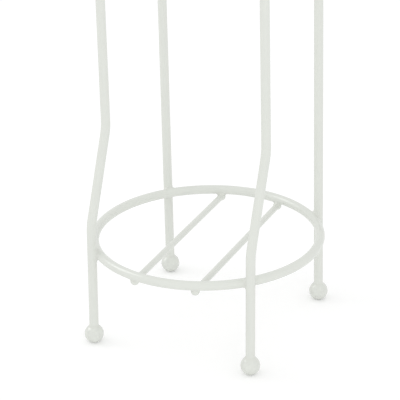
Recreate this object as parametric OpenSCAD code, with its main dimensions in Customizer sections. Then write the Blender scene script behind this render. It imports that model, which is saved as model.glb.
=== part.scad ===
// Free-standing wire store for a stack of toilet rolls.
// Four round-wire uprights stand on ball feet. A ring welded inside them near the floor and two
// crossbars under it carry the stack, and a ring welded round them near the top keeps them apart.
// The front pair is bent back above the base ring, so that the four wires hold the rolls closely.

/* [Rolls] */
// Diameter of the fattest roll that the cage takes
roll_d = 114.5; // [104:0.5:118]
// Play between a roll and each upright
roll_play = 1.9; // [1:0.1:4]
// Height of one roll
roll_h = 102; // [90:1:110]
// Number of rolls in the stack
roll_count = 4; // [2:1:5]

/* [Uprights] */
// Diameter of the upright wires, with their coat
upright_d = 5.3; // [4:0.1:6.5]
// Direction of each upright from the middle of the base ring, measured from the side
upright_angle = 45; // [43:1:47]
// Angle by which the front pair's legs spread forward
leg_splay = 2.2; // [0:0.1:4]
// Height of the front pair's lower bend above the middle of the base ring wire
lower_bend_h = 18; // [12:0.5:22]
// Height from the lower bend to the upper bend
bend_spacing = 51.5; // [44:0.5:70]
// Radius of both bends, at the middle of the wire
bend_r = 20; // [12:1:30]

/* [Base] */
// Diameter of the base ring, at the middle of its wire
base_ring_d = 130; // [126:1:136]
// Diameter of the ring wires, with their coat
ring_wire_d = 5.3; // [4:0.1:6.5]
// Height of the middle of the base ring wire above the floor
base_ring_h = 54; // [40:0.5:70]
// Diameter of the crossbars
crossbar_d = 3.6; // [3:0.1:5]
// Distance between the crossbars, middle to middle
crossbar_spacing = 36.5; // [24:0.5:50]
// Distance that the pair of crossbars sits to the right of the middle
crossbar_offset = 0.9; // [-4:0.1:4]
// Angle by which the pair of crossbars is turned to the left at the back
crossbar_turn = 1.5; // [-5:0.5:5]
// Length by which a crossbar passes the middle of the ring wire
crossbar_reach = 0; // [-0.5:0.1:1.5]

/* [Balls] */
// Diameter of the ball feet
foot_d = 11; // [9:0.5:16]
// Depth of the small flat under each foot
foot_flat = 0.25; // [0.15:0.05:0.5]
// Diameter of the balls that cap the uprights
finial_d = 9; // [8:0.5:14]
// Width of the flat seat beyond the wire that is welded to a ball
ball_seat_edge = 0.35; // [0.2:0.05:0.6]

/* [Top] */
// Height of the middle of the top ring wire above the full stack
top_ring_over = 6; // [3:1:30]
// Height from the middle of the top ring wire to the middle of the caps
finial_rise = 14; // [11:1:40]

/* [Welds] */
// Depth by which an upright and a ring are pressed into each other
ring_weld_sink = 0.9; // [0.5:0.1:1.3]
// Depth by which a crossbar and the base ring are pressed into each other
bar_weld_sink = 0.5; // [0.3:0.1:0.8]
// Width of the bead beyond the patch where an upright and a ring meet
bead_width = 1.4; // [0.8:0.1:1.6]
// Thickness of the round bead that caps the end of a crossbar under the ring
bar_bead = 0.6; // [0.5:0.1:1]
// Cover that the bead leaves over the rim of the crossbar's end
bar_rim_cover = 0.1; // [0.05:0.05:0.3]
// Height of the bead where a wire meets a ball
ball_bead_h = 0.7; // [0.4:0.1:1.2]

/* [Hidden] */
$fn = 96;
// Finer curves for the weld beads, which fill thin gaps between wires
weld_fn = 240;
paint = [0.89, 0.90, 0.875];
weld_paint = [0.87, 0.88, 0.855];

upright_r = upright_d/2;
ring_wire_r = ring_wire_d/2;
crossbar_r = crossbar_d/2;
foot_r = foot_d/2;
finial_r = finial_d/2;
base_ring_r = base_ring_d/2;

// The legs stand on a square round the base ring, which is welded inside them
leg_r = base_ring_r + ring_wire_r + upright_r - ring_weld_sink;
leg_x = leg_r*cos(upright_angle);
leg_y = leg_r*sin(upright_angle);

// Above the bends the four wires just clear a roll
cage_r = roll_d/2 + roll_play + upright_r;
cage_half_depth = sqrt(cage_r*cage_r - leg_x*leg_x);
cage_y = leg_y - cage_half_depth;
cage_front_y = cage_y - cage_half_depth;

// The top ring is welded round the outside of the cage
top_ring_r = cage_r + upright_r + ring_wire_r - ring_weld_sink;
top_ring_h = base_ring_h + ring_wire_r + roll_count*roll_h + top_ring_over;
finial_h = top_ring_h + finial_rise;

// A wire ends on a flat that is cut across its ball
seat_r = upright_r + ball_seat_edge;
foot_seat = sqrt(foot_r*foot_r - seat_r*seat_r);
finial_seat = sqrt(finial_r*finial_r - seat_r*seat_r);
foot_h = foot_r - foot_flat;
upright_top = finial_h - finial_seat;

// Corners of the front pair's centre line, as [y, z]
foot_point = [-leg_y - (base_ring_h - foot_h)*tan(leg_splay), foot_h];
lower_corner = [-leg_y + lower_bend_h*tan(leg_splay), base_ring_h + lower_bend_h];
upper_corner = [cage_front_y, lower_corner[1] + bend_spacing];
slope = atan2(upper_corner[0] - lower_corner[0], bend_spacing);
lower_tangent = bend_r*tan((slope - leg_splay)/2);
upper_tangent = bend_r*tan(slope/2);

// A bend is thicker than the straight wire by this much, which lets the stretches end inside it
bend_swell = 0.02;
bend_lap = 0.2;

// The crossbars lie under the base ring
crossbar_h = base_ring_h - ring_wire_r - crossbar_r + bar_weld_sink;
left_bar_x = crossbar_offset - crossbar_spacing/2;
right_bar_x = crossbar_offset + crossbar_spacing/2;

// A bead on a crossbar is a ball that just encloses the rim of the bar's end
bar_bead_r = crossbar_r + bar_bead;
bar_bead_back = sqrt(pow(bar_bead_r - bar_rim_cover, 2) - pow(crossbar_r, 2));

// A bead between an upright and a ring is centred on the patch where they have sunk together
ring_bead_r = sqrt(pow(upright_r, 2) - pow(upright_r - ring_weld_sink, 2)) + bead_width;
ring_patch = ring_wire_r - ring_weld_sink/2;

// The frame's origin is on the floor under the middle of the whole outline
outline_back = cage_y + top_ring_r + ring_wire_r;
outline_front = -base_ring_r - ring_wire_r;
origin_y = (outline_back + outline_front)/2;

// A point this far along a line that leans back from upright by an angle, as [y, z]
function along(point, angle, distance) = point + distance*[sin(angle), cos(angle)];

// Straight round wire in the YZ plane, from one point on for a length, leaning back by an angle
module straight_wire(from, lean, length) {
    translate([0, from[0], from[1]])
        rotate([-lean, 0, 0])
            cylinder(r = upright_r, h = length);
}

// Round wire bent in the YZ plane about a centre, between two angles measured from +Y towards +Z
module bent_wire(centre, from_angle, to_angle) {
    translate([0, centre[0], centre[1]])
        rotate([90, 0, 90])
            rotate([0, 0, from_angle])
                rotate_extrude(angle = to_angle - from_angle)
                    translate([bend_r, 0])
                        circle(r = upright_r + bend_swell);
}

// Each straight stretch runs on into the bends by bend_lap
module front_upright(side) {
    leg_start = along(foot_point, leg_splay, foot_seat);
    leg_end = along(lower_corner, leg_splay, -lower_tangent);
    slope_start = along(lower_corner, slope, lower_tangent);
    slope_end = along(upper_corner, slope, -upper_tangent);
    top_start = along(upper_corner, 0, upper_tangent);
    translate([side*leg_x, -origin_y, 0]) {
        straight_wire(leg_start, leg_splay, norm(leg_end - leg_start) + bend_lap);
        bent_wire(leg_end + bend_r*[cos(leg_splay), -sin(leg_splay)], 180 - slope, 180 - leg_splay);
        straight_wire(along(slope_start, slope, -bend_lap), slope,
                      norm(slope_end - slope_start) + 2*bend_lap);
        bent_wire(top_start - [bend_r, 0], -slope, 0);
        straight_wire(along(top_start, 0, -bend_lap), 0, upright_top - top_start[1] + bend_lap);
    }
}

module back_upright(side) {
    translate([side*leg_x, leg_y - origin_y, foot_h + foot_seat])
        cylinder(r = upright_r, h = upright_top - foot_h - foot_seat);
}

// Ball foot at the lower end of a leg that leans by an angle
module foot(side, point, lean) {
    difference() {
        translate([side*leg_x, point[0] - origin_y, point[1]])
            difference() {
                sphere(r = foot_r);
                rotate([-lean, 0, 0])
                    translate([0, 0, foot_seat])
                        cylinder(r = foot_d, h = foot_d);
            }
        translate([side*leg_x, point[0] - origin_y, -foot_d])
            cylinder(r = foot_d, h = foot_d);
    }
}

module finial(side, y) {
    translate([side*leg_x, y - origin_y, finial_h])
        difference() {
            sphere(r = finial_r);
            translate([0, 0, -finial_seat - finial_d])
                cylinder(r = finial_d, h = finial_d);
        }
}

module ring_of_wire(r) {
    rotate_extrude()
        translate([r, 0])
            circle(r = ring_wire_r);
}

module whole_base_ring() {
    translate([0, -origin_y, base_ring_h])
        ring_of_wire(base_ring_r);
}

module whole_top_ring() {
    translate([0, cage_y - origin_y, top_ring_h])
        ring_of_wire(top_ring_r);
}

// The stretch of each upright that crosses the base ring
module legs_at_base_ring() {
    reach = lower_bend_h - lower_tangent;
    for (side = [-1, 1]) {
        translate([side*leg_x, -leg_y - origin_y, base_ring_h])
            rotate([-leg_splay, 0, 0])
                cylinder(r = upright_r, h = 2*reach, center = true);
        translate([side*leg_x, leg_y - origin_y, base_ring_h])
            cylinder(r = upright_r, h = 2*reach, center = true);
    }
}

// The stretch of each upright that crosses the top ring
module uprights_at_top_ring() {
    reach = finial_rise - finial_seat;
    for (side = [-1, 1], y = [cage_front_y, leg_y])
        translate([side*leg_x, y - origin_y, top_ring_h])
            cylinder(r = upright_r, h = 2*reach, center = true);
}

// Half the length of the crossbar whose place before the pair is turned is x
function bar_half(x) = sqrt(pow(base_ring_r, 2) - x*x) + crossbar_reach;

// Puts something at the middle of that crossbar
module on_crossbar(x) {
    translate([0, -origin_y, crossbar_h])
        rotate([0, 0, crossbar_turn])
            translate([x, 0, 0])
                children();
}

module whole_crossbar(x) {
    on_crossbar(x)
        rotate([90, 0, 0])
            cylinder(r = crossbar_r, h = 2*bar_half(x), center = true);
}

module crossbar(x) {
    difference() {
        whole_crossbar(x);
        whole_base_ring();
    }
}

// Conical bead round a wire where it stands on a ball's flat
module ball_bead() {
    rotate_extrude()
        polygon([
            [upright_r, 0],
            [seat_r, 0],
            [upright_r, ball_bead_h]
        ]);
}

module upright_front_left() { color(paint) front_upright(-1); }
module upright_front_right() { color(paint) front_upright(1); }
module upright_back_left() { color(paint) back_upright(-1); }
module upright_back_right() { color(paint) back_upright(1); }

module foot_front_left() { color(paint) foot(-1, foot_point, leg_splay); }
module foot_front_right() { color(paint) foot(1, foot_point, leg_splay); }
module foot_back_left() { color(paint) foot(-1, [leg_y, foot_h], 0); }
module foot_back_right() { color(paint) foot(1, [leg_y, foot_h], 0); }

module base_ring() {
    color(paint)
        difference() {
            whole_base_ring();
            legs_at_base_ring();
        }
}

module crossbar_left() { color(paint) crossbar(left_bar_x); }
module crossbar_right() { color(paint) crossbar(right_bar_x); }

module top_ring() {
    color(paint)
        difference() {
            whole_top_ring();
            uprights_at_top_ring();
        }
}

module finial_front_left() { color(paint) finial(-1, cage_front_y); }
module finial_front_right() { color(paint) finial(1, cage_front_y); }
module finial_back_left() { color(paint) finial(-1, leg_y); }
module finial_back_right() { color(paint) finial(1, leg_y); }

module base_ring_welds() {
    $fn = weld_fn;
    patch_r = base_ring_r + ring_patch;
    color(weld_paint)
        difference() {
            for (turn = [upright_angle, 180 - upright_angle, 180 + upright_angle, -upright_angle])
                translate([patch_r*cos(turn), patch_r*sin(turn) - origin_y, base_ring_h])
                    sphere(r = ring_bead_r);
            whole_base_ring();
            legs_at_base_ring();
        }
}

module crossbar_welds() {
    $fn = weld_fn;
    color(weld_paint)
        difference() {
            for (x = [left_bar_x, right_bar_x], end = [-1, 1])
                on_crossbar(x)
                    translate([0, end*(bar_half(x) - bar_bead_back), 0])
                        sphere(r = bar_bead_r);
            whole_base_ring();
            whole_crossbar(left_bar_x);
            whole_crossbar(right_bar_x);
        }
}

module top_ring_welds() {
    $fn = weld_fn;
    patch_r = top_ring_r - ring_patch;
    turn = atan2(cage_half_depth, leg_x);
    color(weld_paint)
        difference() {
            for (angle = [turn, 180 - turn, 180 + turn, -turn])
                translate([patch_r*cos(angle), cage_y + patch_r*sin(angle) - origin_y, top_ring_h])
                    sphere(r = ring_bead_r);
            whole_top_ring();
            uprights_at_top_ring();
        }
}

module foot_welds() {
    color(weld_paint)
        for (side = [-1, 1]) {
            translate([side*leg_x, foot_point[0] - origin_y, foot_point[1]])
                rotate([-leg_splay, 0, 0])
                    translate([0, 0, foot_seat])
                        ball_bead();
            translate([side*leg_x, leg_y - origin_y, foot_h + foot_seat])
                ball_bead();
        }
}

module finial_welds() {
    color(weld_paint)
        for (side = [-1, 1], y = [cage_front_y, leg_y])
            translate([side*leg_x, y - origin_y, upright_top])
                mirror([0, 0, 1])
                    ball_bead();
}

upright_front_left();
upright_front_right();
upright_back_left();
upright_back_right();
foot_front_left();
foot_front_right();
foot_back_left();
foot_back_right();
base_ring();
crossbar_left();
crossbar_right();
top_ring();
finial_front_left();
finial_front_right();
finial_back_left();
finial_back_right();
base_ring_welds();
crossbar_welds();
top_ring_welds();
foot_welds();
finial_welds();
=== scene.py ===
"""Looks of a free-standing wire store for toilet rolls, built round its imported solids.

Every wire, ring, ball and weld is a smooth surface worked out on a grid, at the size and place of
the solid that it stands for, under one gloss off-white coat. Lengths are in metres, in the frame's
own axes: +Z up, -Y to the front.
"""

import math

import bpy
import numpy as np
from mathutils import Matrix, Vector


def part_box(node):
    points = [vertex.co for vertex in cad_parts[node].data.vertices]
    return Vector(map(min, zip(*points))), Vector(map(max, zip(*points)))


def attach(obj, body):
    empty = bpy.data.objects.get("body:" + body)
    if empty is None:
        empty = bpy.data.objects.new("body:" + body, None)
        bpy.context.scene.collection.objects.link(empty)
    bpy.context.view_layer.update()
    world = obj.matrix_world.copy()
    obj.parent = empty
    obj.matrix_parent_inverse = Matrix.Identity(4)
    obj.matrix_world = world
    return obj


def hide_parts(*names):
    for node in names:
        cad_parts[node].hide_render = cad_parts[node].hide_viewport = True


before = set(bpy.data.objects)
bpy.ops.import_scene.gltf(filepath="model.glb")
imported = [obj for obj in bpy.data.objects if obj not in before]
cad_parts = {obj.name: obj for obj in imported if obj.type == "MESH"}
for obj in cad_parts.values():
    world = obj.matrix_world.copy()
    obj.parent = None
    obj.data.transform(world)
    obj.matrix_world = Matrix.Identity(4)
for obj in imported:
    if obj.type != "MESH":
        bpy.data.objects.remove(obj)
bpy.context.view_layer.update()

# The photograph's camera, placed from the middle of the base ring
CAMERA_DISTANCE = 1.0684
CAMERA_HEIGHT = 0.5037
CAMERA_AZIMUTH = math.radians(25.595)
CAMERA_TURN = math.radians(-0.197)
CAMERA_PITCH = math.radians(24.251)
CAMERA_ROLL = math.radians(-1.419)
CAMERA_LENS = 184.4
CAMERA_SENSOR = 36.0

# Shape of the front wires, the crossbars and the feet, as the solids have it
LEG_SPLAY = math.radians(2.2)
LOWER_BEND_H = 0.018
BEND_SPACING = 0.0515
BEND_R = 0.020
CROSSBAR_TURN = math.radians(1.5)
BAR_BEAD = 0.0006
BAR_RIM_COVER = 0.0001
FOOT_FLAT = 0.00025

# Small irregularities of bent and welded wire. Lumps are mixed of waves whose lengths spread about
# one size. On a ball they fade out towards the wire, between two cosines of the angle to it.
BEND_FLATTENING = 0.02
BEND_FADE = 0.003
SEAM_SWELL = 0.00010
SEAM_WIDTH = 0.0016
BALL_LUMPS = 0.00013
BALL_LUMP_SIZE = 0.0022
BALL_LUMP_FADE = (0.25, 0.75)
WELD_LUMPS = 0.00005
WELD_LUMP_SIZE = 0.0018
LUMP_WAVES = 12
LUMP_SPREAD = (0.8, 1.6)

# Fillets that weld and coat leave in the corners, and how far each joint's surface reaches from
# its middle
JOINT_BLEND = 0.0026
BEAD_BLEND = 0.0014
BALL_FILLET = 0.0012
JOINT_REACH = 0.0046
BEAD_REACH = 0.0042
CREASE_REACH = 0.0036
SINK = 0.00001

# Where the seeds of the lumps start, after those of the base ring's joints
TOP_SEED = 10
BALL_SEED = 20
BEAD_SEED = 40

# Fineness of the surfaces
ROUND = 64
RING_STEPS = 360
BALL_STEPS = (72, 96)
JOINT_STEPS = (96, 128)
WIRE_STEP = 0.0025
BEND_STEP = 0.0008
RAY_STEPS = 60
RAY_SHARE = 0.8

# Colours of the coat, as a screen shows them
COAT = (0.890, 0.902, 0.875)
COAT_SHADE = (0.870, 0.879, 0.856)
# Painted shade for the corners, partly a yellower tint of pooled coat: darker than the coat
CORNER_SHADE_AND_POOL = (0.800, 0.797, 0.760)
BALL_SHADE = (0.858, 0.866, 0.844)

# Pattern of the coat: how much shorter its streaks are along a wire than they look, how wide they
# are, the patches' share, how far a corner turns to its painted shade, darker and with a yellower
# tint of pooled coat, and how far streaks dull it
STREAK = 25.0
STREAK_WIDTH = 0.0011
PATCH_SHARE = 0.6
CORNER_SHADE_AND_POOL_SHARE = 0.2
DULLING = 0.12
COAT_IOR = 1.5

# Floor, world and lights. The key light's way is given to the right, up and forward in the
# camera's picture. The front light stands a little to one side of the camera, and hardly above
# what both aim at.
FLOOR_R = 4.0
FLOOR_SIDES = 96
FLOOR_COLOUR = (0.92, 0.92, 0.92, 1.0)
FLOOR_GLOW = 0.16
DAYLIGHT = 0.885
LIGHT_AIM_H = 0.15
KEY_LIGHT_WAY = (-0.79, 0.62, -0.04)
FRONT_LIGHT_TURN = 0.20
FRONT_LIGHT_RISE = 0.05

SIDES = {"left": -1, "right": 1}


def middle(box):
    """The middle of a box given by its lowest and highest corners."""
    return (box[0] + box[1])/2


def half_size(box, axis):
    """Half the size of a box along one axis."""
    return (box[1][axis] - box[0][axis])/2


# Sizes and places that the solids give
back_wire_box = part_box("upright_back_right")
base_ring_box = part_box("base_ring")
top_ring_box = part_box("top_ring")
foot_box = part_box("foot_back_right")
finial_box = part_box("finial_back_right")
wire_r = half_size(back_wire_box, 0)
leg_x = middle(back_wire_box).x
back_y = middle(back_wire_box).y
cage_front_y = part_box("upright_front_right")[1].y - wire_r
ring_wire_r = half_size(base_ring_box, 2)
base_ring_r = half_size(base_ring_box, 0) - ring_wire_r
top_ring_r = half_size(top_ring_box, 0) - ring_wire_r
base_centre = np.array(middle(base_ring_box))
top_centre = np.array(middle(top_ring_box))
foot_r = half_size(foot_box, 0)
foot_h = foot_r - FOOT_FLAT
foot_front_y = middle(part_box("foot_front_right")).y
finial_r = half_size(finial_box, 0)
finial_h = finial_box[1].z - finial_r


def unit(vectors):
    """The vectors, each at length 1."""
    return vectors/np.linalg.norm(vectors, axis=-1, keepdims=True)


def whole_turn(steps):
    """Angles round a whole turn in equal steps, without the last one, where the turn closes."""
    return np.arange(steps)*2*np.pi/steps


def directions(steps, pole):
    """Directions all round a point, from one pole to the other, with those at the poles left out.

    In row i and column j the direction leans from the pole by i of the rows' share of half a turn,
    and is turned round it by j of the columns' share of a whole turn.
    """
    rows, columns = steps
    lean = (np.arange(1, rows)*np.pi/rows)[:, None, None]
    turn = whole_turn(columns)[None, :, None]
    pole = unit(np.asarray(pole, float))
    side = unit(np.cross(pole, (1.0, 0.0, 0.0) if abs(pole[0]) < 0.9 else (0.0, 1.0, 0.0)))
    other = np.cross(pole, side)
    return np.cos(lean)*pole + np.sin(lean)*(np.cos(turn)*side + np.sin(turn)*other)


def lumps(points, size, seed):
    """Low bumps of about this size: twice the mean of many waves, each along its own direction."""
    random = np.random.default_rng(seed)
    ways = unit(random.normal(size=(LUMP_WAVES, 3)))
    waves = ways*2*np.pi/(size*random.uniform(*LUMP_SPREAD, (LUMP_WAVES, 1)))
    phases = random.uniform(0, 2*np.pi, LUMP_WAVES)
    return np.sin(points @ waves.T + phases).mean(-1)*2


def closed_shell(rows, grain, ends=None, corner=None):
    """Closed surface through a grid of points whose columns close on themselves.

    Its first and last rows are drawn together in two end points, or meet each other if there are
    none. grain holds, for every point, where it lies in the coat's pattern, and corner how deep in
    a corner it lies. Returns points, grain, corner and faces, with all faces turned outwards: if
    the shell's volume comes out negative, the corners are taken the other way round.
    """
    count, columns = rows.shape[:2]
    last = count if ends is None else count - 1
    i, j = np.meshgrid(np.arange(last), np.arange(columns), indexing="ij")
    up, across = (i + 1) % count, (j + 1) % columns
    quads = np.stack([i*columns + j, i*columns + across, up*columns + across, up*columns + j], -1)
    quads = quads.reshape(-1, 4)
    points, pattern = rows.reshape(-1, 3), grain.reshape(-1, 3)
    triangles = np.zeros((0, 3), int)
    if ends is not None:
        tip = count*columns
        j = np.arange(columns)
        first = np.stack([np.full(columns, tip), (j + 1) % columns, j], -1)
        rim = (count - 1)*columns
        second = np.stack([np.full(columns, tip + 1), rim + j, rim + (j + 1) % columns], -1)
        triangles = np.concatenate([first, second])
        points = np.concatenate([points, ends])
        pattern = np.concatenate([pattern, grain[[0, -1]].mean(1)])
    halves = np.concatenate([quads[:, [0, 1, 2]], quads[:, [0, 2, 3]], triangles])
    a, b, c = (points[halves[:, k]] - points.mean(0) for k in range(3))
    if np.einsum("ij,ij", a, np.cross(b, c)) < 0:
        quads, triangles = quads[:, ::-1], triangles[:, ::-1]
    if corner is None:
        corner = np.zeros(len(points))
    return points, pattern, corner, quads, triangles


def add_piece(node, slot, shells):
    """Makes one smooth mesh object of closed shells, which stands for a node."""
    points, grain, corner, faces, count = [], [], [], [], 0
    for shell_points, shell_grain, shell_corner, quads, triangles in shells:
        points.append(shell_points)
        grain.append(shell_grain)
        corner.append(shell_corner)
        faces += (quads + count).tolist() + (triangles + count).tolist()
        count += len(shell_points)
    mesh = bpy.data.meshes.new(node + "_coated")
    mesh.from_pydata(np.concatenate(points).tolist(), [], faces)
    pattern = mesh.attributes.new("grain", "FLOAT_VECTOR", "POINT")
    pattern.data.foreach_set("vector", np.concatenate(grain).astype(np.float32).ravel())
    depth = mesh.attributes.new("corner", "FLOAT", "POINT")
    depth.data.foreach_set("value", np.concatenate(corner).astype(np.float32))
    mesh.shade_smooth()
    mesh.materials.append(COATS[slot])
    piece = bpy.data.objects.new(mesh.name, mesh)
    bpy.context.scene.collection.objects.link(piece)
    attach(piece, "root")
    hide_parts(node)


def wire_shell(path, across, radius):
    """Round wire along a path, closed in a point at both ends.

    Round each point of the path stands a ring of points, each of them
    point + radius*(cos(turn)*across + sin(turn)*other), with other square to both the path and the
    direction across. The pattern's place is the same ring, with the distance along the path divided
    by the streak's length.
    """
    turn = whole_turn(ROUND)[None, :, None]
    other = np.cross(unit(np.gradient(path, axis=0)), across)[:, None]
    offset = radius[..., None]*(np.cos(turn)*across + np.sin(turn)*other)
    along = np.concatenate([[0], np.cumsum(np.linalg.norm(np.diff(path, axis=0), axis=1))])
    grain = np.stack(np.broadcast_arrays(
        radius*np.cos(turn[..., 0]), radius*np.sin(turn[..., 0]), along[:, None]/STREAK), -1)
    return closed_shell(path[:, None] + offset, grain, path[[0, -1]])


def stretch(start, end, step):
    """Distances from start to end in equal steps of about this size."""
    return np.linspace(start, end, max(2, math.ceil((end - start)/step) + 1))


def front_wire_shell(side):
    """Front wire: straight leg, bend, straight slope, bend and straight upright, all in one plane.

    The wire's lean is a function of the distance along it: it stays the same on the straight
    stretches and changes evenly over a bend, by the bend's length over its radius. The path is the
    running sum of the steps, each taken in the direction of the lean. Over a bend the wire is a
    little flattened: its radius is the wire's own times 1 + flattening*cos(2*turn), which fades
    out at both ends of the bend.
    """
    foot = np.array([foot_front_y, foot_h])
    lower_h = base_centre[2] + LOWER_BEND_H
    lower = np.array([foot[0] + (lower_h - foot[1])*math.tan(LEG_SPLAY), lower_h])
    upper = np.array([cage_front_y, lower_h + BEND_SPACING])
    slope = math.atan2(upper[0] - lower[0], BEND_SPACING)
    lower_tangent = BEND_R*math.tan((slope - LEG_SPLAY)/2)
    upper_tangent = BEND_R*math.tan(slope/2)
    lengths = [
        np.linalg.norm(lower - foot) - lower_tangent,
        BEND_R*(slope - LEG_SPLAY),
        np.linalg.norm(upper - lower) - lower_tangent - upper_tangent,
        BEND_R*slope,
        finial_h - upper[1] - upper_tangent,
    ]
    marks = np.concatenate([[0], np.cumsum(lengths)])
    steps = [WIRE_STEP, BEND_STEP, WIRE_STEP, BEND_STEP, WIRE_STEP]
    along = np.unique(np.concatenate([
        stretch(start, end, step) for start, end, step in zip(marks, marks[1:], steps)]))
    lean = np.interp(along, marks, [LEG_SPLAY, LEG_SPLAY, slope, slope, 0, 0])
    heading = np.stack([np.sin(lean), np.cos(lean)], -1)
    moves = np.diff(along)[:, None]*(heading[1:] + heading[:-1])/2
    flat = foot + np.concatenate([[[0, 0]], np.cumsum(moves, axis=0)])
    path = np.column_stack([np.full(len(flat), side*leg_x), flat])
    bends = [
        [start - BEND_FADE, start, end, end + BEND_FADE] for start, end in (marks[1:3], marks[3:5])]
    bent = sum(np.interp(along, bend, [0, 1, 1, 0]) for bend in bends)[:, None]
    radius = wire_r*(1 + BEND_FLATTENING*bent*np.cos(2*whole_turn(ROUND)))
    return wire_shell(path, np.array([1.0, 0, 0]), radius)


def straight_wire_shell(start, end, radius):
    """Straight round wire between two points, closed at both ends."""
    start, end = np.asarray(start, float), np.asarray(end, float)
    length = np.linalg.norm(end - start)
    share = stretch(0, length, WIRE_STEP)[:, None]/length
    path = start + share*(end - start)
    upright = abs(end[2] - start[2]) > length/2
    across = unit(np.cross(end - start, (0.0, 1.0, 0.0) if upright else (0.0, 0.0, 1.0)))
    return wire_shell(path, across, np.full((len(path), ROUND), radius))


def ring_shell(centre, ring_r):
    """Ring of round wire lying flat, with a slight swell at the back where its ends are joined.

    Round the ring by one angle and round its wire by another: the wire's radius gains a
    bell-shaped swell about the joint. The pattern's place is the same ring drawn in, so that it
    closes on itself.
    """
    from_seam = whole_turn(RING_STEPS)[:, None]
    round_ring, round_wire = from_seam + np.pi/2, whole_turn(ROUND)
    seam_gap = np.minimum(from_seam, 2*np.pi - from_seam)*ring_r
    radius = ring_wire_r + SEAM_SWELL*np.exp(-0.5*(seam_gap/SEAM_WIDTH)**2)

    def around(big):
        out = big + radius*np.cos(round_wire)
        return np.stack(np.broadcast_arrays(
            out*np.cos(round_ring), out*np.sin(round_ring), radius*np.sin(round_wire)), -1)

    return closed_shell(centre + around(ring_r), around(ring_r/STREAK))


def ball_shell(centre, radius, wire_way, seed, floor_h=None):
    """Ball with low lumps, flat where it stands.

    In each direction the surface lies at the radius plus the lumps, which fade out towards the
    wire. What would reach below the floor is lifted to it.
    """
    way = directions(BALL_STEPS, wire_way)
    whole, gone = BALL_LUMP_FADE
    fade = np.clip((gone - way @ wire_way)/(gone - whole), 0, 1)
    reach = radius + BALL_LUMPS*fade*lumps(way*radius, BALL_LUMP_SIZE, seed)
    points = centre + way*reach[..., None]
    ends = centre + np.array([1.0, -1.0])[:, None]*radius*unit(wire_way)
    if floor_h is not None:
        points[..., 2] = np.maximum(points[..., 2], floor_h)
        ends[:, 2] = np.maximum(ends[:, 2], floor_h)
    return closed_shell(points, points, ends)


def to_ring(points, centre, ring_r):
    """Distance from points to the surface of a ring of wire, negative inside it."""
    outward = np.hypot(points[..., 0] - centre[0], points[..., 1] - centre[1]) - ring_r
    return np.hypot(outward, points[..., 2] - centre[2]) - ring_wire_r


def to_rod(points, start, way, radius):
    """Distance from points to the surface of an endless round rod, negative inside it."""
    apart = points - start
    return np.linalg.norm(apart - (apart @ way)[..., None]*way, axis=-1) - radius


def to_ball(points, centre, radius):
    """Distance from points to the surface of a ball, negative inside it."""
    return np.linalg.norm(points - centre, axis=-1) - radius


def run_together(first, second, width):
    """Distance to two shapes run together with a fillet, and how deep in the corner a place is.

    It is the smaller distance, less a hump that is highest where both are equally near and is gone
    where they differ by the width. Away from the hump the surface is sunk a little, out of sight.
    The depth in the corner goes from 0 to 1 as the hump does.
    """
    hump = np.clip(1 - np.abs(first - second)/width, 0, 1)
    return np.minimum(first, second) - hump**2*width/4 + SINK*(1 - hump), hump


def fillet_shell(centre, pole, distance, reach, seed):
    """Surface of a joint as seen from its middle.

    In every direction it lies where the distance function turns positive, or at the reach if that
    comes first, which is inside the wires. Each point walks out along its ray by a share of the
    distance that is still free, until it rests on the surface. Lumps move it a little, most in the
    corner.
    """
    pole = unit(np.asarray(pole, float))
    way = np.concatenate([directions(JOINT_STEPS, pole).reshape(-1, 3), [pole, -pole]])
    far = np.zeros(len(way))
    for _ in range(RAY_STEPS):
        far = np.clip(far - RAY_SHARE*distance(centre + way*far[:, None])[0], 0, reach)
    points = centre + way*far[:, None]
    corner = distance(points)[1]*(far < reach)
    points += way*(WELD_LUMPS*corner*lumps(points, WELD_LUMP_SIZE, seed))[:, None]
    grid = points[:-2].reshape(JOINT_STEPS[0] - 1, JOINT_STEPS[1], 3)
    return closed_shell(grid, grid, points[-2:], corner)


class Nodes:
    """The nodes of one material or world, added and joined in short lines."""

    def __init__(self, owner):
        owner.use_nodes = True
        self.tree = owner.node_tree
        self.tree.nodes.clear()

    def add(self, kind, settings=None, **inputs):
        """A node of a kind, with its settings, and its inputs set to values or joined to outputs.

        An input goes by its name, or by i and its number where names repeat.
        """
        node = self.tree.nodes.new(kind)
        for name, value in (settings or {}).items():
            setattr(node, name, value)
        for name, value in inputs.items():
            numbered = name[0] == "i" and name[1:].isdigit()
            self.join(node.inputs[int(name[1:]) if numbered else name.replace("_", " ")], value)
        return node

    def join(self, socket, value):
        """Sets an input to a value, or joins it to an output."""
        if isinstance(value, bpy.types.NodeSocket):
            self.tree.links.new(value, socket)
        else:
            socket.default_value = value

    def math(self, operation, first, second=0.0):
        """One sum of two numbers or outputs."""
        return self.add("ShaderNodeMath", {"operation": operation}, i0=first, i1=second).outputs[0]

    def noise(self, place, size, detail=2.0):
        """Cloudy noise from 0 to 1 with patches of about this size."""
        return self.add("ShaderNodeTexNoise", Vector=place, Scale=1/size, Detail=detail).outputs[0]

    def blend(self, share, first, second):
        """A colour between two, by a share from 0 to 1."""
        mix = self.add("ShaderNodeMix", {"data_type": "RGBA"})
        self.join(mix.inputs[0], share)
        self.join(mix.inputs[6], first)
        self.join(mix.inputs[7], second)
        return mix.outputs[2]

    def seen(self):
        """1 for what the camera sees straight, in a reflection or through glass, otherwise 0."""
        path = self.add("ShaderNodeLightPath").outputs
        seen = self.math("MAXIMUM", path["Is Camera Ray"], path["Is Glossy Ray"])
        return self.math("MAXIMUM", seen, path["Is Transmission Ray"])


def linear(colour):
    """A colour as the renderer counts it, from a colour as a screen shows it."""
    parts = [c/12.92 if c <= 0.04045 else ((c + 0.055)/1.055)**2.4 for c in colour]
    return (*parts, 1.0)


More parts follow.
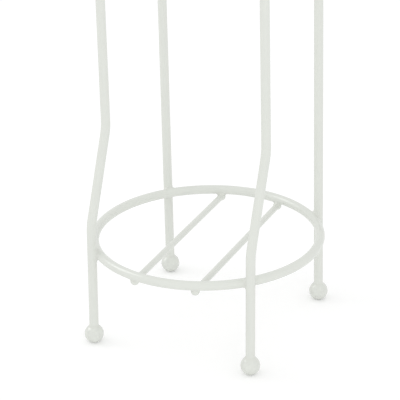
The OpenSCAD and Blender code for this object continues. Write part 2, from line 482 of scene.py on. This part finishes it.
def coat_material(name, ripple, ripple_size, roughness, shade, patch, contrast):
    """Gloss coat on wire or balls: uneven in colour and gloss, rippled, with painted shade in
    corners.

    Its colour wanders between the coat's own and a shade of it, in streaks and in patches of a
    given size. The contrast says how far, from the middle between both. Ripple is the height of
    the coat's ripples.
    """
    material = bpy.data.materials.new(name)
    nodes = Nodes(material)
    place = nodes.add("ShaderNodeTexCoord").outputs["Object"]
    grain = nodes.add("ShaderNodeAttribute", {"attribute_name": "grain"}).outputs["Vector"]
    corner = nodes.add("ShaderNodeAttribute", {"attribute_name": "corner"}).outputs["Fac"]

    cloud = nodes.noise(place, patch)
    streak = nodes.noise(grain, STREAK_WIDTH)
    patches = nodes.math("MULTIPLY", cloud, PATCH_SHARE)
    uneven = nodes.math("ADD", patches, nodes.math("MULTIPLY", streak, 1 - PATCH_SHARE))
    uneven = nodes.math("MULTIPLY", nodes.math("SUBTRACT", uneven, 0.5), contrast)
    colour = nodes.blend(nodes.math("ADD", uneven, 0.5), linear(COAT), linear(shade))
    # Painted shade in the corners, partly a yellower tint of pooled coat: the colour turns darker
    # by how deep in a corner a place is
    colour = nodes.blend(nodes.math("MULTIPLY", corner, CORNER_SHADE_AND_POOL_SHARE), colour, linear(CORNER_SHADE_AND_POOL))

    peel = nodes.noise(place, ripple_size, 1.0)
    bump = nodes.add("ShaderNodeBump", Strength=1.0, Distance=ripple, Height=peel)
    gloss = nodes.math("ADD", nodes.math("MULTIPLY", streak, DULLING), roughness)
    coat = nodes.add(
        "ShaderNodeBsdfPrincipled", Base_Color=colour, Roughness=gloss, IOR=COAT_IOR,
        Normal=bump.outputs[0])
    nodes.add("ShaderNodeOutputMaterial", Surface=coat.outputs[0])
    return material


COATS = {
    "wire_paint": coat_material(
        "wire_coat", ripple=0.00001, ripple_size=0.0016, roughness=0.18,
        shade=COAT_SHADE, patch=0.012, contrast=1.0),
    "ball_paint": coat_material(
        "ball_coat", ripple=0.00001, ripple_size=0.0013, roughness=0.08,
        shade=BALL_SHADE, patch=0.0028, contrast=3.0),
    "weld_paint": coat_material(
        "weld_coat", ripple=0.00002, ripple_size=0.0013, roughness=0.16,
        shade=COAT_SHADE, patch=0.012, contrast=1.0),
}

# The wires
for side_name, side in SIDES.items():
    add_piece(f"upright_front_{side_name}", "wire_paint", [front_wire_shell(side)])
    add_piece(f"upright_back_{side_name}", "wire_paint", [
        straight_wire_shell((side*leg_x, back_y, foot_h), (side*leg_x, back_y, finial_h), wire_r)])
add_piece("base_ring", "wire_paint", [ring_shell(base_centre, base_ring_r)])
add_piece("top_ring", "wire_paint", [ring_shell(top_centre, top_ring_r)])

# The crossbars, whose ends are hidden in round beads under the base ring
bar_way = np.array([-math.sin(CROSSBAR_TURN), math.cos(CROSSBAR_TURN), 0.0])
bar_across = np.array([math.cos(CROSSBAR_TURN), math.sin(CROSSBAR_TURN), 0.0])
crossbar_joints = []
for side_name in SIDES:
    bar_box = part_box(f"crossbar_{side_name}")
    bar_r = half_size(bar_box, 2)
    bar_h = middle(bar_box).z
    under_centre = np.array([base_centre[0], base_centre[1], bar_h])
    bar_x = (np.array(middle(bar_box)) - under_centre) @ bar_across
    bar_half = math.sqrt(base_ring_r**2 - bar_x**2)
    bead_r = bar_r + BAR_BEAD
    bead_back = math.sqrt((bead_r - BAR_RIM_COVER)**2 - bar_r**2)
    ends = [under_centre + bar_x*bar_across + end*(bar_half - bead_back)*bar_way for end in (-1, 1)]
    add_piece(f"crossbar_{side_name}", "wire_paint", [straight_wire_shell(*ends, bar_r)])
    for end, bead in zip((-1, 1), ends):
        crossbar_joints.append((bead, end*bar_way, bar_r, bead_r))


def crossbar_joint(bead, way, bar_r, bead_r, seed):
    """Round bead over a crossbar's end, run together with the bar and the ring."""
    def distance(points):
        apart = points - bead
        along = np.minimum(apart @ way, 0)
        bar = np.linalg.norm(apart - along[..., None]*way, axis=-1) - bar_r
        rod, _ = run_together(bar, to_ball(points, bead, bead_r), BALL_FILLET)
        return run_together(rod, to_ring(points, base_centre, base_ring_r), BEAD_BLEND)
    return fillet_shell(bead, way, distance, BEAD_REACH, seed)


add_piece("crossbar_welds", "weld_paint", [
    crossbar_joint(*joint, seed) for seed, joint in enumerate(crossbar_joints, BEAD_SEED)])


def ring_joint(centre, ring_r, upright, way, seed):
    """Where an upright and a ring have sunk together, with a fillet all round."""
    outward = unit(upright - centre)
    patch = (upright + centre + ring_r*outward)/2

    def distance(points):
        rod = to_rod(points, upright, way, wire_r)
        return run_together(rod, to_ring(points, centre, ring_r), JOINT_BLEND)

    return fillet_shell(patch, way, distance, JOINT_REACH, seed)


def ball_joint(centre, radius, wire_way, seed):
    """Where a wire goes into its ball, with a narrow fillet all round the crease."""
    def distance(points):
        rod = to_rod(points, centre, wire_way, wire_r)
        return run_together(rod, to_ball(points, centre, radius), BALL_FILLET)

    crease = centre + math.sqrt(radius**2 - wire_r**2)*wire_way
    return fillet_shell(crease, wire_way, distance, CREASE_REACH, seed)


upwards = np.array([0.0, 0.0, 1.0])
leg_way = np.array([0.0, math.sin(LEG_SPLAY), math.cos(LEG_SPLAY)])
leg_front_y = foot_front_y + (base_centre[2] - foot_h)*math.tan(LEG_SPLAY)
base_joints, top_joints, foot_joints, finial_joints = [], [], [], []
for side_name, side in SIDES.items():
    for place, foot_y, leg_y, cage_y, way in (
            ("front", foot_front_y, leg_front_y, cage_front_y, leg_way),
            ("back", back_y, back_y, back_y, upwards)):
        seed = len(base_joints)
        leg = np.array([side*leg_x, leg_y, base_centre[2]])
        base_joints.append(ring_joint(base_centre, base_ring_r, leg, way, seed))
        upright = np.array([side*leg_x, cage_y, top_centre[2]])
        top_joints.append(ring_joint(top_centre, top_ring_r, upright, upwards, TOP_SEED + seed))
        foot = np.array([side*leg_x, foot_y, foot_h])
        cap = np.array([side*leg_x, cage_y, finial_h])
        for centre, radius, wire_way, joints, node, floor_h in (
                (foot, foot_r, way, foot_joints, "foot", 0.0),
                (cap, finial_r, -upwards, finial_joints, "finial", None)):
            seed = BALL_SEED + len(foot_joints) + 4*len(finial_joints)
            add_piece(f"{node}_{place}_{side_name}", "ball_paint", [
                ball_shell(centre, radius, wire_way, seed, floor_h)])
            joints.append(ball_joint(centre, radius, wire_way, seed))
add_piece("base_ring_welds", "weld_paint", base_joints)
add_piece("top_ring_welds", "weld_paint", top_joints)
add_piece("foot_welds", "weld_paint", foot_joints)
add_piece("finial_welds", "weld_paint", finial_joints)


def stage_material():
    """Pale floor that looks white to the camera and in reflections, and keeps the shadow."""
    material = bpy.data.materials.new("floor_paint")
    nodes = Nodes(material)
    matt = nodes.add("ShaderNodeBsdfDiffuse", Color=FLOOR_COLOUR).outputs[0]
    glow = nodes.add("ShaderNodeEmission", Color=(1, 1, 1, 1), Strength=FLOOR_GLOW).outputs[0]
    lifted = nodes.add("ShaderNodeAddShader", i0=matt, i1=glow).outputs[0]
    surface = nodes.add("ShaderNodeMixShader", i0=nodes.seen(), i1=matt, i2=lifted).outputs[0]
    nodes.add("ShaderNodeOutputMaterial", Surface=surface)
    return material


floor_mesh = bpy.data.meshes.new("floor")
floor_turn = whole_turn(FLOOR_SIDES)
floor_rim = np.column_stack([np.cos(floor_turn), np.sin(floor_turn), np.zeros(FLOOR_SIDES)])*FLOOR_R
floor_mesh.from_pydata(floor_rim.tolist(), [], [list(range(FLOOR_SIDES))])
floor_mesh.materials.append(stage_material())
floor = bpy.data.objects.new("floor", floor_mesh)
bpy.context.scene.collection.objects.link(floor)

# The camera
azimuth, look = CAMERA_AZIMUTH, CAMERA_AZIMUTH - CAMERA_TURN
camera_place = Vector(base_centre) + Vector((
    CAMERA_DISTANCE*math.sin(azimuth), -CAMERA_DISTANCE*math.cos(azimuth), CAMERA_HEIGHT))
forward = Vector((
    -math.sin(look)*math.cos(CAMERA_PITCH),
    math.cos(look)*math.cos(CAMERA_PITCH),
    -math.sin(CAMERA_PITCH)))
level = Vector((math.cos(look), math.sin(look), 0.0))
above = level.cross(forward)
right = math.cos(CAMERA_ROLL)*level + math.sin(CAMERA_ROLL)*above
up = math.cos(CAMERA_ROLL)*above - math.sin(CAMERA_ROLL)*level
lens = bpy.data.cameras.new("camera")
lens.lens = CAMERA_LENS
lens.sensor_width = CAMERA_SENSOR
lens.clip_start = 0.02
lens.clip_end = 20.0
camera = bpy.data.objects.new("camera", lens)
bpy.context.scene.collection.objects.link(camera)
camera_turn = Matrix((right, up, -forward)).transposed().to_4x4()
camera.matrix_world = Matrix.Translation(camera_place) @ camera_turn
bpy.context.scene.camera = camera


def softbox(name, towards, distance, size, power):
    """Square soft light that shines at the middle of the object."""
    light = bpy.data.lights.new(name, "AREA")
    light.shape = "SQUARE"
    light.size = size
    light.energy = power
    lamp = bpy.data.objects.new(name, light)
    bpy.context.scene.collection.objects.link(lamp)
    lamp.visible_camera = False
    aim = Vector((0, 0, LIGHT_AIM_H))
    lamp.location = aim + towards.normalized()*distance
    lamp.rotation_euler = (aim - lamp.location).to_track_quat("-Z", "Y").to_euler()
    return lamp


key_way = KEY_LIGHT_WAY[0]*right + KEY_LIGHT_WAY[1]*up + KEY_LIGHT_WAY[2]*forward
front_turn = azimuth + FRONT_LIGHT_TURN
front_way = Vector((math.sin(front_turn), -math.cos(front_turn), FRONT_LIGHT_RISE))
softbox("key_light", key_way, distance=1.6, size=0.8, power=2.4)
gleam = softbox("gleam_light", key_way, distance=1.7, size=0.8, power=5.5)
gleam.visible_diffuse = False
front = softbox("front_light", front_way, distance=1.9, size=1.3, power=7.2)
front.visible_glossy = False

world = bpy.data.worlds.new("studio")
bpy.context.scene.world = world
nodes = Nodes(world)
strength = nodes.math("ADD", nodes.math("MULTIPLY", nodes.seen(), 1 - DAYLIGHT), DAYLIGHT)
background = nodes.add("ShaderNodeBackground", Color=(1, 1, 1, 1), Strength=strength)
nodes.add("ShaderNodeOutputWorld", Surface=background.outputs[0])

bpy.context.scene.view_settings.view_transform = "Standard"
